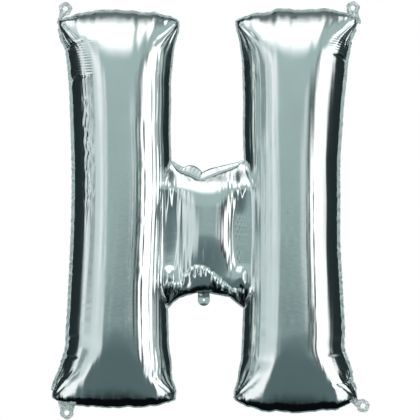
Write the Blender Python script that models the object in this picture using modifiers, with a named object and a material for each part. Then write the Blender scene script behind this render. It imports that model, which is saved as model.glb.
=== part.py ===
"""Letter H foil balloon, inflated: two welded film panels, their edge seal, four tabs and a tail.

Metres, +Z up. The letter faces -Y and its origin is the middle of the letter.
"""

import math

import bmesh
import bpy
from mathutils import Vector

# Film and weld
WALL = 0.005
SEAL_THICKNESS = 0.0015
SEAL_OUTSIDE = 0.005
SEAL_INSIDE = 0.004
GAP = 0.0003

# Depth of each panel, from the seam plane to its crown
LEG_DEPTH = 0.0765
BAR_DEPTH = 0.0595
RIM_DEPTH = 0.006
BAR_RIM_DEPTH = 0.031
# How sharply the roof of a leg turns from its sides to its ends
HIP = 3.4
RIM_BEYOND_SEAM = 0.008

# Crossbar: where its seams meet the legs, and how far they sag inwards between them
BAR_TOP = 0.097
BAR_BOTTOM = -0.200
BAR_SAG = 0.034
# Columns of the crossbar: place across it, share of the seams' sag, share of its depth
BAR_COLUMNS = (
    (-0.057, 0.48, 0.55),
    (-0.034, 0.78, 0.88),
    (-0.006, 1.00, 1.01),
    (0.030, 0.78, 0.94),
    (0.052, 0.50, 0.65),
)
# Levels of the crossbar: height, share of its depth, share of the depth of the hollows beside it
BAR_LEVELS = (
    (BAR_TOP, 0.00, 0.00),
    (0.047, 0.90, 1.80),
    (0.012, 1.02, 1.15),
    (-0.050, 1.00, 1.00),
    (-0.112, 0.98, 1.08),
    (-0.149, 0.95, 1.80),
    (BAR_BOTTOM, 0.00, 0.00),
)

# Legs: centre line at the top, the middle and the bottom, the heights of both end seams, and the
# depth of the hollow between the leg and the crossbar
LEGS = (
    {"top_x": -0.178, "middle_x": -0.1755, "bottom_x": -0.189, "top": 0.405, "bottom": -0.402,
     "hollow": 0.0235},
    {"top_x": 0.186, "middle_x": 0.1755, "bottom_x": 0.183, "top": 0.405, "bottom": -0.410,
     "hollow": 0.0300},
)
WAIST_HALF_WIDTH = 0.0965
WIDER_ABOVE_BAR = 0.002
# One row for each level near an end: distance from the end seam, half width,
# share of the leg's depth at the top and at the bottom, drop at the corners
END_ROWS = (
    (0.000, 0.1220, 0.10, 0.32, 0.020),
    (0.018, 0.1230, 0.34, 0.52, 0.018),
    (0.055, 0.1175, 0.70, 0.76, 0.008),
    (0.115, 0.1030, 0.94, 0.95, 0.002),
)
# Points across a leg: place as a share of its half width, height as a share of its depth
ACROSS = (
    (-1.0, 0.0), (-0.80, 0.58), (-0.35, 0.93), (0.0, 0.98), (0.35, 0.93), (0.80, 0.58), (1.0, 0.0),
)
# Height of the shoulder that faces the crossbar, as a share of the leg's depth
SHOULDER_AT_BAR = 0.57

# Hanging tabs
TAB_HALF_WIDTH = 0.0135
TAB_ROOT = 0.034
TAB_HOLE_RADIUS = 0.005
# Name, middle of the hole, the way it points in degrees from +X, and half width at its root
TABS = (
    ("tab_top_left", -0.2885, 0.410, 62, 0.006),
    ("tab_top_right", 0.2995, 0.412, 115, 0.008),
    ("tab_bottom_left", -0.2855, -0.416, -90, 0.019),
    ("tab_bottom_right", 0.3200, -0.402, -30, 0.009),
)

# Inflation tail: distance below its root, and half width there
TAIL_X = -0.007
TAIL_ROOT = -0.160
TAIL_PROFILE = ((0.000, 0.012), (0.014, 0.012), (0.017, 0.0133), (0.020, 0.0122), (0.025, 0.0122))
TAIL_THICKNESS = 0.003
TAIL_HOLE_RADIUS = 0.004
TAIL_HOLE_BELOW_ROOT = 0.0255

ARC_STEPS = 10
HOLE_STEPS = 16
CUTTER_HEIGHT = 1.2
SILVER = (0.78, 0.80, 0.80)
PALE_SILVER = (0.84, 0.86, 0.86)


def clear_scene():
    for item in list(bpy.data.objects):
        bpy.data.objects.remove(item, do_unlink=True)


def new_collection(name, shown):
    made = bpy.data.collections.new(name)
    made.hide_render = not shown
    bpy.context.scene.collection.children.link(made)
    return made


def foil(name, colour, roughness):
    """Metallised film."""
    material = bpy.data.materials.new(name)
    material.use_nodes = True
    shader = material.node_tree.nodes["Principled BSDF"]
    shader.inputs["Base Color"].default_value = (*colour, 1)
    shader.inputs["Metallic"].default_value = 1
    shader.inputs["Roughness"].default_value = roughness
    return material


def object_of(name, data, collection, material=None):
    made = bpy.data.objects.new(name, data)
    collection.objects.link(made)
    if material:
        data.materials.append(material)
    return made


def levels(leg):
    """Heights of a leg from top to bottom, each with its half width, depth share and corner drop."""
    top, bottom = [], []
    for away, width, share_above, share_below, drop in END_ROWS:
        top.append((leg["top"] - away, width, share_above, drop))
        bottom.append((leg["bottom"] + away, width, share_below, -drop))
    bar = [(height, WAIST_HALF_WIDTH, 1, 0) for height, *_ in BAR_LEVELS]
    above = ((top[-1][0] + BAR_TOP) / 2, WAIST_HALF_WIDTH + WIDER_ABOVE_BAR, 1, 0)
    return [*top, above, *bar, *reversed(bottom)]


FIRST_BAR_ROW = len(END_ROWS) + 1
LAST_BAR_ROW = FIRST_BAR_ROW + len(BAR_LEVELS) - 1


def inside_bar(row):
    return FIRST_BAR_ROW < row < LAST_BAR_ROW


def bar_level(row):
    return BAR_LEVELS[row - FIRST_BAR_ROW]


def centre_line(leg, z):
    end, at_end = (leg["top"], "top_x") if z > 0 else (leg["bottom"], "bottom_x")
    return leg["middle_x"] + (leg[at_end] - leg["middle_x"]) * (z / end) ** 2


def hip_roof(side_share, end_share):
    """Height of a roof that rises from a side and an end, as a share of its full height."""
    return 1 - ((1 - side_share) ** HIP + (1 - end_share) ** HIP) ** (1 / HIP)


def leg_points(leg, inner):
    """Rows of cage points of one leg, from -X to +X. inner is +1 where the crossbar is on its +X side."""
    rows = []
    for row, (z, half_width, share, drop) in enumerate(levels(leg)):
        points = []
        for place, height in ACROSS:
            depth = max(hip_roof(height, share) * LEG_DEPTH, RIM_DEPTH)
            if inside_bar(row) and place == inner:
                depth = leg["hollow"] * bar_level(row)[2]
            elif inside_bar(row) and place == inner * ACROSS[-2][0]:
                depth = SHOULDER_AT_BAR * LEG_DEPTH
            x = centre_line(leg, z) + place * half_width
            points.append(Vector((x, depth, z - drop * place * place)))
        rows.append(points)
    return rows


def bar_points(left, right):
    """Rows of cage points between the two legs, with the seams sagging towards the bar's middle."""
    rows = []
    for row in range(FIRST_BAR_ROW, LAST_BAR_ROW + 1):
        points = []
        for x, sag, share in BAR_COLUMNS:
            z = (left[row][-1].z + right[row][0].z) / 2
            depth = BAR_DEPTH * bar_level(row)[1] * share
            if row == FIRST_BAR_ROW:
                z, depth = z - BAR_SAG * sag, BAR_RIM_DEPTH
            if row == LAST_BAR_ROW:
                z, depth = z + BAR_SAG * sag, BAR_RIM_DEPTH
            points.append(Vector((x, depth, z)))
        rows.append([left[row][-1], *points, right[row][0]])
    return rows


LEFT = leg_points(LEGS[0], 1)
RIGHT = leg_points(LEGS[1], -1)
BAR = bar_points(LEFT, RIGHT)
CROTCHES = [row[end] for row in (BAR[0], BAR[-1]) for end in (0, -1)]


def seam_cage():
    """The cage's edge points in order round the letter, clockwise from the left leg's top."""
    def inner_side(leg_rows, column, rows):
        return [leg_rows[row][column] for row in rows]

    last = len(LEFT) - 1
    ring = [*LEFT[0]]
    ring += inner_side(LEFT, -1, range(1, FIRST_BAR_ROW + 1))
    ring += BAR[0][1:-1]
    ring += inner_side(RIGHT, 0, range(FIRST_BAR_ROW, 0, -1))
    ring += RIGHT[0]
    ring += inner_side(RIGHT, -1, range(1, last))
    ring += reversed(RIGHT[last])
    ring += inner_side(RIGHT, 0, range(last - 1, LAST_BAR_ROW - 1, -1))
    ring += reversed(BAR[-1][1:-1])
    ring += inner_side(LEFT, -1, range(LAST_BAR_ROW, last))
    ring += reversed(LEFT[last])
    ring += inner_side(LEFT, 0, range(last - 1, 0, -1))
    return [Vector((point.x, point.z)) for point in ring]


def smoothed(loop):
    """A closed loop with one level of subdivision, as the panels' edges have it."""
    sharp = [(point.x, point.z) for point in CROTCHES]
    out = []
    for index, point in enumerate(loop):
        before, after = loop[index - 1], loop[(index + 1) % len(loop)]
        out.append(point if tuple(point) in sharp else (before + point * 6 + after) / 8)
        out.append((point + after) / 2)
    return out


def offset(loop, distance):
    """A clockwise closed loop moved outwards by a distance."""
    out = []
    for index, point in enumerate(loop):
        before = (point - loop[index - 1]).normalized()
        after = (loop[(index + 1) % len(loop)] - point).normalized()
        along = (before + after).normalized()
        out.append(point + Vector((-along.y, along.x)) * distance / max(along.dot(after), 0.5))
    return out


SEAM = smoothed(seam_cage())


def flat_curve(name, loops, thickness, collection, material=None):
    """A flat piece in the seam plane, filled between its loops."""
    data = bpy.data.curves.new(name, "CURVE")
    data.dimensions = "2D"
    data.fill_mode = "BOTH"
    data.extrude = thickness / 2
    for loop in loops:
        spline = data.splines.new("POLY")
        spline.points.add(len(loop) - 1)
        for point, place in zip(spline.points, loop):
            point.co = (place.x, place.y, 0, 1)
        spline.use_cyclic_u = True
    made = object_of(name, data, collection, material)
    made.rotation_euler.x = math.pi / 2
    return made


def as_mesh(curve, collection):
    """The same piece as a mesh with its caps welded on, so that it can be cut."""
    bpy.context.view_layer.update()
    graph = bpy.context.evaluated_depsgraph_get()
    data = bpy.data.meshes.new_from_object(curve.evaluated_get(graph))
    shape = bmesh.new()
    shape.from_mesh(data)
    bmesh.ops.remove_doubles(shape, verts=shape.verts, dist=1e-6)
    bmesh.ops.recalc_face_normals(shape, faces=shape.faces)
    shape.to_mesh(data)
    shape.free()
    name, place = curve.name, curve.matrix_world.copy()
    bpy.data.objects.remove(curve, do_unlink=True)
    made = object_of(name, data, collection)
    made.matrix_world = place
    return made


def cut(piece, cutter):
    modifier = piece.modifiers.new("cut", "BOOLEAN")
    modifier.object = cutter
    modifier.operation = "DIFFERENCE"
    modifier.solver = "EXACT"


def circle(centre, radius, steps):
    turn = [2 * math.pi * step / steps for step in range(steps)]
    return [centre + Vector((math.cos(angle), math.sin(angle))) * radius for angle in turn]


def seam_cutter(cutters, side):
    """A box that takes off what lies on the far side of a panel's seam face."""
    shape = bmesh.new()
    bmesh.ops.create_cube(shape, size=1)
    reach = 2 * RIM_BEYOND_SEAM + 4 * WALL
    bmesh.ops.scale(shape, vec=(1, reach, CUTTER_HEIGHT), verts=shape.verts)
    face = SEAL_THICKNESS / 2 + GAP
    bmesh.ops.translate(shape, vec=(0, side * (face - reach / 2), 0), verts=shape.verts)
    data = bpy.data.meshes.new("seam_cutter")
    shape.to_mesh(data)
    shape.free()
    made = object_of("seam_cutter", data, cutters)
    made.hide_render = True
    made.display_type = "WIRE"
    return made


def panel(name, side, parts, cutters, material):
    """One film panel. side is -1 for the front and +1 for the back."""
    shape = bmesh.new()
    made = {}

    def vertex(point):
        key = tuple(point)
        if key not in made:
            made[key] = shape.verts.new((point.x, side * point.y, point.z))
        return made[key]

    for rows in (LEFT, BAR, RIGHT):
        for upper, lower in zip(rows, rows[1:]):
            for column in range(len(upper) - 1):
                corners = (lower[column], lower[column + 1], upper[column + 1], upper[column])
                shape.faces.new([vertex(point) for point in corners])
    edge = [item for item in shape.edges if item.is_boundary]
    grown = bmesh.ops.extrude_edge_only(shape, edges=edge)["geom"]
    for item in grown:
        if isinstance(item, bmesh.types.BMVert):
            item.co.y = -side * RIM_BEYOND_SEAM
    crease = shape.verts.layers.float.new("crease_vert")
    for item in shape.verts:
        if any(item.co.x == point.x and item.co.z == point.z for point in CROTCHES):
            item[crease] = 1
    bmesh.ops.recalc_face_normals(shape, faces=shape.faces)
    crown = max(shape.faces, key=lambda face: side * face.calc_center_median().y)
    if crown.normal.y * side < 0:
        bmesh.ops.reverse_faces(shape, faces=shape.faces)
    data = bpy.data.meshes.new(name)
    shape.to_mesh(data)
    shape.free()
    data.shade_smooth()
    piece = object_of(name, data, parts, material)
    rounded = piece.modifiers.new("rounded", "SUBSURF")
    rounded.levels = rounded.render_levels = 1
    wall = piece.modifiers.new("wall", "SOLIDIFY")
    wall.thickness = WALL
    wall.offset = -1
    wall.use_even_offset = True
    cut(piece, seam_cutter(cutters, side))
    return piece


def edge_seal(parts, material):
    """The welded margin that runs right round the letter between the two panels."""
    loops = (offset(SEAM, SEAL_OUTSIDE), offset(SEAM, -SEAL_INSIDE))
    return flat_curve("edge_seal", loops, SEAL_THICKNESS, parts, material)


def seal_cutter(cutters):
    """The seal's outer outline and its clearance, for the pieces that meet it edge to edge."""
    loop = offset(SEAM, SEAL_OUTSIDE + GAP)
    made = as_mesh(flat_curve("seal_cutter", [loop], 4 * TAIL_THICKNESS, cutters), cutters)
    made.hide_render = True
    made.display_type = "WIRE"
    return made


def tab(name, x, z, degrees, root_half_width, parts, cutter, material):
    """A tongue of film with a punched hole, for a ribbon or a hook."""
    way = Vector((math.cos(math.radians(degrees)), math.sin(math.radians(degrees))))
    across = Vector((-way.y, way.x))
    hole = Vector((x, z))
    outline = []
    for step in range(ARC_STEPS + 1):
        angle = math.pi * step / ARC_STEPS
        turned = across * math.cos(angle) + way * math.sin(angle)
        outline.append(hole + turned * TAB_HALF_WIDTH)
    root = hole - way * TAB_ROOT
    outline += [root - across * root_half_width, root + across * root_half_width]
    loops = (outline, circle(hole, TAB_HOLE_RADIUS, HOLE_STEPS))
    made = as_mesh(flat_curve(name, loops, SEAL_THICKNESS, parts), parts)
    made.data.materials.append(material)
    cut(made, cutter)


def inflation_tail(parts, cutter, material):
    """The sleeve that takes the gas in, with its fill hole."""
    side = [(half, -below) for below, half in TAIL_PROFILE]
    depth, half = TAIL_PROFILE[-1]
    for step in range(1, ARC_STEPS):
        angle = math.pi * step / ARC_STEPS
        side.append((half * math.cos(angle), -depth - half * math.sin(angle)))
    side += [(-half, -below) for below, half in reversed(TAIL_PROFILE)]
    root = Vector((TAIL_X, TAIL_ROOT))
    outline = [root + Vector(point) for point in side]
    hole = root - Vector((0, TAIL_HOLE_BELOW_ROOT))
    loops = (outline, circle(hole, TAIL_HOLE_RADIUS, HOLE_STEPS))
    made = as_mesh(flat_curve("inflation_tail", loops, TAIL_THICKNESS, parts), parts)
    made.data.materials.append(material)
    cut(made, cutter)


clear_scene()
parts = new_collection("letter_foil_balloon", True)
cutters = new_collection("cutters", False)
panel("front_panel", -1, parts, cutters, foil("front_foil", SILVER, 0.10))
panel("back_panel", 1, parts, cutters, foil("back_foil", SILVER, 0.10))
edge_seal(parts, foil("seal_foil", PALE_SILVER, 0.25))
seal_outline = seal_cutter(cutters)
for name, *sizes in TABS:
    tab(name, *sizes, parts, seal_outline, foil(name + "_foil", PALE_SILVER, 0.22))
inflation_tail(parts, seal_outline, foil("tail_foil", PALE_SILVER, 0.22))
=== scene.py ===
import math

import bmesh
import bpy
import numpy as np
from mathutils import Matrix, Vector


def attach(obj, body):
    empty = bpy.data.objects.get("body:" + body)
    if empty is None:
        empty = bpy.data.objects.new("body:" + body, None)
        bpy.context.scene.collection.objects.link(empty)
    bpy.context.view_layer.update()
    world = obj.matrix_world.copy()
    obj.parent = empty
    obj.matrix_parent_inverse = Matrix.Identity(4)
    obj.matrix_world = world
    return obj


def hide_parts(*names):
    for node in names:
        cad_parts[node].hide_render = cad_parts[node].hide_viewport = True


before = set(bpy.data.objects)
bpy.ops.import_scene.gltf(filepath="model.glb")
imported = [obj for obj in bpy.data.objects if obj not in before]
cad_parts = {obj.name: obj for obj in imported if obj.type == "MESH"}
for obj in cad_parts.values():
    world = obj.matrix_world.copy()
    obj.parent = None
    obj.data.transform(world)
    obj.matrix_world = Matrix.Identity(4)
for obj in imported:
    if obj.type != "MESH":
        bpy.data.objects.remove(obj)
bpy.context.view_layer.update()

# Camera. The letter floats at eye level and is seen straight on through a long lens, from in front
# of the middle of its two legs.
FRAME_SIDE = 0.859
CAMERA_DISTANCE = 5.0
CAMERA_X, CAMERA_Z = 0.0072, -0.0014


def aim(thing, at):
    """Turns a camera or a light towards a point."""
    thing.rotation_euler = (Vector(at) - thing.location).to_track_quat("-Z", "Y").to_euler()


camera = bpy.data.objects.new("camera", bpy.data.cameras.new("camera"))
bpy.context.scene.collection.objects.link(camera)
camera.location = (CAMERA_X, -CAMERA_DISTANCE, CAMERA_Z)
aim(camera, (CAMERA_X, 0, CAMERA_Z))
camera.data.lens = camera.data.sensor_width * CAMERA_DISTANCE / FRAME_SIDE
bpy.context.scene.camera = camera
bpy.context.scene.view_settings.view_transform = "Standard"

# Softbox. One weak box at the right puts a soft sheen on the film's right-hand flanks. The rest of
# the light comes from the room.
SOFTBOX_PLACE = (2.60, -1.20, 0.30)
SOFTBOX_AIM = (0.18, -0.07, 0.30)
SOFTBOX_WIDTH, SOFTBOX_HEIGHT = 1.60, 2.40
SOFTBOX_BRIGHTNESS = 0.35
SOFTBOX_COLOUR = (0.97, 1.0, 1.0)

lamp = bpy.data.lights.new("softbox_right", "AREA")
lamp.shape = "RECTANGLE"
lamp.size, lamp.size_y = SOFTBOX_WIDTH, SOFTBOX_HEIGHT
lamp.energy = SOFTBOX_BRIGHTNESS * math.pi * SOFTBOX_WIDTH * SOFTBOX_HEIGHT
lamp.color = SOFTBOX_COLOUR
softbox = bpy.data.objects.new("softbox_right", lamp)
bpy.context.scene.collection.objects.link(softbox)
softbox.location = SOFTBOX_PLACE
softbox.visible_camera = False
aim(softbox, SOFTBOX_AIM)

# Room. A mirror-like film shows the whole room, so the room has walls of several greys, pale
# scrims hung at both sides, dark ground low down and a bright cloth overhead.
WALL_AHEAD = (0.395, 0.525, 0.513)
WALL_LEFT = (0.640, 0.745, 0.745)
WALL_DARK = (0.016, 0.026, 0.029)
WALL_SLATE = (0.100, 0.155, 0.160)
WALL_GAP = (0.150, 0.210, 0.212)
WALL_BEHIND = (0.340, 0.430, 0.425)
WALL_NADIR = (0.003, 0.004, 0.005)
CEILING_BEHIND = (0.110, 0.150, 0.152)
CEILING_LIGHT = (2.00, 2.05, 2.05)
SCRIM_RIGHT = (1.15, 1.20, 1.20)
SCRIM_NARROW = (0.86, 0.92, 0.92)
SCRIM_LEFT = (1.00, 1.05, 1.05)
SCRIM_LOW = (1.05, 1.10, 1.10)
OUTSIDE_WHITE = (1.0, 1.0, 1.0)
# Where walls and scrims begin and end round the room, in degrees from the camera towards the right:
# low, high, soft edge
AHEAD_SPAN = (-94, 40, 5)
LEFT_SPAN = (-94, -36, 5)
MIDDLE_SPAN = (-36, 40, 5)
LEFT_SCRIM_SPAN = (-53, -43, 5)
FAR_LEFT_SCRIM_SPAN = (-92, -85, 3)
LEFT_GAP_SPAN = (-80, -66, 4)
NARROW_SCRIM_SPAN = (24, 33, 4)
RIGHT_CORNER_SPAN = (40, 53, 5)
RIGHT_SCRIM_SPAN = (53, 92, 4)
RIGHT_FAR_SPAN = (40, 120, 10)
BEHIND_FROM = (150, 165)
DEGREES = 57.3
# Where they begin and end in height, as the share of the way from eye level to straight up or down
UPPER_LEFT_HEIGHT = (0.002, 0.40, 0.014)
NARROW_SCRIM_HEIGHT = (-0.026, 0.038, 0.012)
RIGHT_SCRIM_HEIGHT = (-0.62, 0.36, 0.10)
LOW_SCRIM_DEPTH = (0.16, 0.66, 0.10)
THIN_GAP, THIN_SLATE, THIN_CORNER = 0.85, 0.85, 0.5


class Socket:
    """A value in a node tree that takes part in Python sums."""

    def __init__(self, tree, link):
        self.tree, self.link = tree, link

    def _math(self, operation, *others):
        return node(self.tree, "ShaderNodeMath", {"operation": operation}, [self, *others])[0]

    def __add__(self, other):
        return self._math("ADD", other)

    def __sub__(self, other):
        return self._math("SUBTRACT", other)

    def __mul__(self, other):
        return self._math("MULTIPLY", other)

    def __rsub__(self, other):
        return node(self.tree, "ShaderNodeMath", {"operation": "SUBTRACT"}, [other, self])[0]

    __radd__, __rmul__ = __add__, __mul__

    def step(self, low, high):
        """0 below low, 1 above high and smooth between them."""
        made = node(self.tree, "ShaderNodeMapRange", {"interpolation_type": "SMOOTHSTEP"},
                    {"Value": self, "From Min": low, "From Max": high})
        return made[0]

    def window(self, low, high, soft):
        """1 between low and high and 0 outside, with soft edges."""
        return self.step(low - soft, low + soft) * (1 - self.step(high - soft, high + soft))


def node(tree, kind, settings=None, values=None):
    """One node: its settings first, then its inputs by name or in order. Its outputs come back."""
    made = tree.nodes.new(kind)
    for name, value in (settings or {}).items():
        setattr(made, name, value)
    pairs = values.items() if isinstance(values, dict) else enumerate(values or ())
    for name, value in pairs:
        if isinstance(value, Socket):
            tree.links.new(value.link, made.inputs[name])
        elif value is not None:
            made.inputs[name].default_value = value
    return [Socket(tree, output) for output in made.outputs]


def blend_colours(tree, share, low, high):
    """The colour low where share is 0 and high where it is 1."""
    made = node(tree, "ShaderNodeMix", {"data_type": "RGBA"}, {"Factor": share})
    mix = made[0].link.node
    for name, colour in (("A", low), ("B", high)):
        socket = [i for i in mix.inputs if i.name == name and i.type == "RGBA"][0]
        if isinstance(colour, Socket):
            tree.links.new(colour.link, socket)
        else:
            socket.default_value = (*colour, 1)
    return Socket(tree, [o for o in mix.outputs if o.type == "RGBA"][0])


room = bpy.data.worlds.new("room")
bpy.context.scene.world = room
room.use_nodes = True
room_tree = room.node_tree
for old in list(room_tree.nodes):
    room_tree.nodes.remove(old)


def cover(walls, share, colour):
    """Hangs a colour over the walls where share is 1."""
    return blend_colours(room_tree, share, walls, colour)


direction = node(room_tree, "ShaderNodeTexCoord")[0]
across, along, up = node(room_tree, "ShaderNodeSeparateXYZ", {}, [direction])
down, ahead, leftward = 0 - up, 0 - along, 0 - across
turn = node(room_tree, "ShaderNodeMath", {"operation": "ARCTAN2"}, [across, ahead])[0]
bearing = turn * DEGREES
left = bearing.window(*LEFT_SPAN)
upper = up.window(*UPPER_LEFT_HEIGHT)

# The walls, from the camera's side round to behind the letter
walls = cover(WALL_DARK, bearing.window(*AHEAD_SPAN), WALL_AHEAD)
walls = cover(walls, bearing.step(*BEHIND_FROM) + (0 - bearing).step(*BEHIND_FROM), WALL_BEHIND)
walls = cover(walls, left, WALL_LEFT)
# Two scrims on the left wall and a darker gap between them
walls = cover(walls, bearing.window(*LEFT_SCRIM_SPAN) * upper, SCRIM_LEFT)
walls = cover(walls, bearing.window(*FAR_LEFT_SCRIM_SPAN) * upper, SCRIM_LEFT)
walls = cover(walls, bearing.window(*LEFT_GAP_SPAN) * upper * THIN_GAP, WALL_GAP)
# Dark ground below eye level, with a low scrim on the left
walls = cover(walls, bearing.window(*MIDDLE_SPAN) * down.step(-0.004, 0.064) * THIN_SLATE, WALL_SLATE)
walls = cover(walls, bearing.window(*RIGHT_CORNER_SPAN) * up.step(0.024, 0.046) * THIN_CORNER, WALL_AHEAD)
walls = cover(walls, down.step(0.08, 0.34) * (1 - left), WALL_SLATE)
walls = cover(walls, down.window(*LOW_SCRIM_DEPTH) * left, SCRIM_LOW)
walls = cover(walls, down.step(0.55, 0.75) * left, WALL_SLATE)
# A narrow scrim beside the camera and a wide one at the right
narrow_scrim = bearing.window(*NARROW_SCRIM_SPAN) * up.window(*NARROW_SCRIM_HEIGHT)
walls = cover(walls, narrow_scrim, SCRIM_NARROW)
right_scrim = bearing.window(*RIGHT_SCRIM_SPAN) * up.window(*RIGHT_SCRIM_HEIGHT)
walls = cover(walls, right_scrim, SCRIM_RIGHT)
walls = cover(walls, bearing.window(*RIGHT_FAR_SPAN) * up.step(0.26, 0.46), WALL_AHEAD)
# Black straight below and below behind, dim ceiling, and the bright cloth over the camera
walls = cover(walls, down.step(0.76, 0.92), WALL_NADIR)
walls = cover(walls, down.step(0.20, 0.40) * along.step(-0.05, 0.15), WALL_NADIR)
walls = cover(walls, up.step(0.75, 0.95), CEILING_BEHIND)
cloth = up.step(0.45, 1.00) * ahead.step(-0.06, 0.04) * (0.30 + 0.70 * ahead.step(0.0, 0.34))
cloth = cloth * (1 - across.step(0.08, 0.44)) * (1 - leftward.step(0.50, 0.85))
walls = cover(walls, cloth, CEILING_LIGHT)
# What the camera sees past the letter is plain white
seen_directly = node(room_tree, "ShaderNodeLightPath")[0]
walls = cover(walls, seen_directly, OUTSIDE_WHITE)
background = node(room_tree, "ShaderNodeBackground", {}, {"Color": walls, "Strength": 1.0})[0]
node(room_tree, "ShaderNodeOutputWorld", {}, {"Surface": background})

# Floor. A plain pale round floor well below the letter. It shows from the sides and from above,
# and the film doesn't mirror it.
FLOOR_Z = -1.0
FLOOR_RADIUS = 5.0
FLOOR_SIDES = 96
FLOOR_PALE = (0.86, 0.87, 0.87)
FLOOR_ROUGH = 0.8

bm = bmesh.new()
bmesh.ops.create_circle(bm, cap_ends=True, segments=FLOOR_SIDES, radius=FLOOR_RADIUS)
bmesh.ops.translate(bm, verts=bm.verts, vec=(0, 0, FLOOR_Z))
floor_mesh = bpy.data.meshes.new("floor")
bm.to_mesh(floor_mesh)
bm.free()
floor = bpy.data.objects.new("floor", floor_mesh)
bpy.context.scene.collection.objects.link(floor)
floor_finish = bpy.data.materials.new("pale_floor")
floor_finish.use_nodes = True
floor_shader = floor_finish.node_tree.nodes["Principled BSDF"]
floor_shader.inputs["Base Color"].default_value = (*FLOOR_PALE, 1)
floor_shader.inputs["Roughness"].default_value = FLOOR_ROUGH
floor_mesh.materials.append(floor_finish)
floor.visible_glossy = False

# Front and back film. Each is one sheet of metallised film, cut flat to the letter's outline and
# welded to the other at the seam. The gas rounds the legs and the crossbar, pulls the side seams
# in, and leaves the spare film in folds at the corners, along the seams and beside the crossbar.

# The flat pattern: width of a leg, whole height, and the crossbar between the legs
LEG_FLAT = 0.262
HEIGHT_FLAT = 0.872
BAR_FLAT = 0.160
BAR_FLAT_TOP, BAR_FLAT_BOTTOM = 0.098, -0.204
SEAM_Y = 0.0005
# Cut lines of the sheet: start, end, step between them
COLUMNS = ((-0.342, -0.262, 0.0020), (-0.262, -0.115, 0.0024), (-0.115, -0.045, 0.0014),
           (-0.045, 0.045, 0.0024), (0.045, 0.115, 0.0014), (0.115, 0.282, 0.0026),
           (0.282, 0.342, 0.0020))
ROWS = ((-0.436, -0.300, 0.0022), (-0.300, -0.204, 0.0050), (-0.204, -0.2034, 0.0006),
        (-0.2034, -0.100, 0.0020), (-0.100, 0.020, 0.0034), (0.020, 0.0974, 0.0020),
        (0.0974, 0.098, 0.0006), (0.098, 0.270, 0.0050), (0.270, 0.362, 0.0015), (0.362, 0.436, 0.0022))
# Side seams of each leg, as (height, place across)
SEAMS = {
    (-1, "outer"): ((-0.402, -0.309), (-0.386, -0.3145), (-0.370, -0.314), (-0.349, -0.3085),
                    (-0.329, -0.2990), (-0.308, -0.2930), (-0.288, -0.2868), (-0.247, -0.2838),
                    (-0.145, -0.2782), (-0.083, -0.2752), (0.019, -0.2722), (0.100, -0.2722),
                    (0.162, -0.2741), (0.264, -0.2785), (0.305, -0.2825), (0.330, -0.2865),
                    (0.346, -0.2945), (0.367, -0.3000), (0.387, -0.3028), (0.400, -0.3020)),
    (-1, "inner"): ((-0.402, -0.0680), (-0.386, -0.0655), (-0.370, -0.0640), (-0.349, -0.0715),
                    (-0.308, -0.0740), (-0.288, -0.0775), (-0.247, -0.0796), (-0.206, -0.0805),
                    (0.100, -0.0740), (0.162, -0.0756), (0.224, -0.0745), (0.264, -0.0745),
                    (0.305, -0.0705), (0.326, -0.0685), (0.346, -0.0640), (0.367, -0.0580),
                    (0.387, -0.0571)),
    (1, "inner"): ((-0.402, 0.0580), (-0.386, 0.0571), (-0.370, 0.0592), (-0.349, 0.0653),
                   (-0.329, 0.0680), (-0.308, 0.0725), (-0.288, 0.0738), (-0.247, 0.0756),
                   (-0.206, 0.0770), (0.100, 0.0785), (0.162, 0.0765), (0.224, 0.0772),
                   (0.264, 0.0760), (0.305, 0.0745), (0.326, 0.0718), (0.346, 0.0690),
                   (0.367, 0.0633), (0.387, 0.0605)),
    (1, "outer"): ((-0.402, 0.307), (-0.386, 0.3075), (-0.370, 0.3050), (-0.349, 0.2965),
                   (-0.329, 0.2940), (-0.308, 0.2870), (-0.288, 0.2800), (-0.247, 0.2795),
                   (-0.186, 0.2762), (-0.145, 0.2741), (-0.083, 0.2705), (0.019, 0.2701),
                   (0.100, 0.2701), (0.162, 0.2741), (0.224, 0.2785), (0.264, 0.2830),
                   (0.305, 0.2868), (0.326, 0.2910), (0.346, 0.2940), (0.367, 0.3028),
                   (0.387, 0.3110)),
}
# End seams of each leg, as (place from the inner to the outer seam, height)
ENDS = {
    (-1, "top"): ((-1.0, 0.383), (-0.7, 0.392), (-0.5, 0.3985), (-0.25, 0.400), (0.12, 0.405),
                  (0.42, 0.3995), (0.72, 0.392), (1.0, 0.382)),
    (1, "top"): ((-1.0, 0.383), (-0.55, 0.397), (-0.2, 0.405), (0.1, 0.405), (0.5, 0.404),
                 (0.76, 0.397), (1.0, 0.385)),
    (-1, "bottom"): ((-1.0, -0.385), (-0.75, -0.394), (-0.4, -0.400), (0.0, -0.4015),
                     (0.3, -0.400), (0.7, -0.394), (1.0, -0.384)),
    (1, "bottom"): ((-1.0, -0.383), (-0.7, -0.399), (-0.38, -0.4085), (0.25, -0.4095),
                    (0.6, -0.403), (0.85, -0.392), (1.0, -0.384)),
}
# Seams of the crossbar, as (place across, height)
BAR_TOP_SEAM = ((-0.074, 0.0979), (-0.066, 0.088), (-0.058, 0.0812), (-0.034, 0.0705),
                (-0.0135, 0.0598), (-0.0115, 0.0592), (-0.0095, 0.0598), (0.012, 0.0690),
                (0.034, 0.0778), (0.052, 0.0840), (0.066, 0.090), (0.078, 0.0979))
BAR_BOTTOM_SEAM = ((-0.080, -0.2017), (-0.070, -0.190), (-0.056, -0.180), (-0.035, -0.173),
                   (-0.019, -0.169), (0.004, -0.169), (0.018, -0.172), (0.034, -0.175),
                   (0.048, -0.178), (0.060, -0.188), (0.077, -0.2017))


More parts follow.
